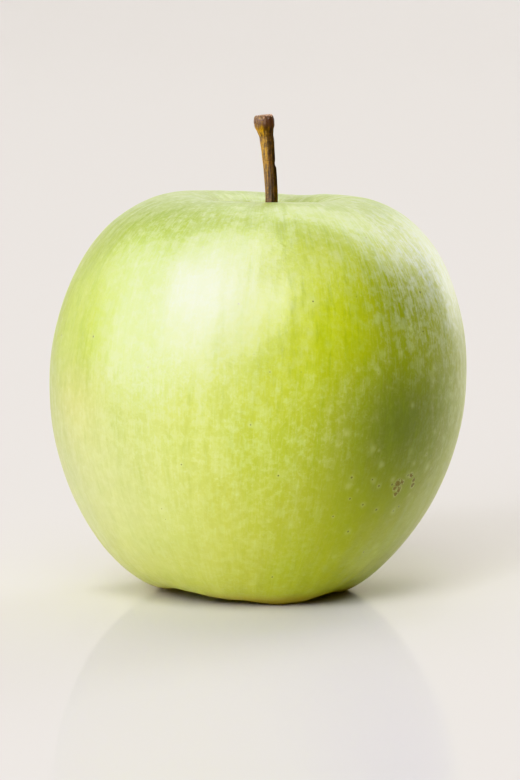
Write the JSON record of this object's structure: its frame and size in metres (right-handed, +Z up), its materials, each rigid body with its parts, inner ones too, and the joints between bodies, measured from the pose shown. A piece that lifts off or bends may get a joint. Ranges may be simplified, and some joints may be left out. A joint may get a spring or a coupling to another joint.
{
  "type": "apple",
  "caption": "Large round green apple with five low lobes, a deep stem pit, a thin bent stem with a knob at its end, and a dried calyx in its base.",
  "frame": {"origin": "on the surface that the apple stands on, under the middle of its bounding box", "axes": "+Z up along the core towards the stem, -Y towards the front of the fruit, +X to its right"},
  "size_m": [0.0794, 0.0806, 0.0908],
  "materials": {
    "skin": "waxy satin",
    "stem": "matt",
    "calyx": "matt"
  },
  "bodies": {
    "root": {"fruit": "skin", "stem": "stem", "calyx": "calyx"}
  },
  "joints": []
}
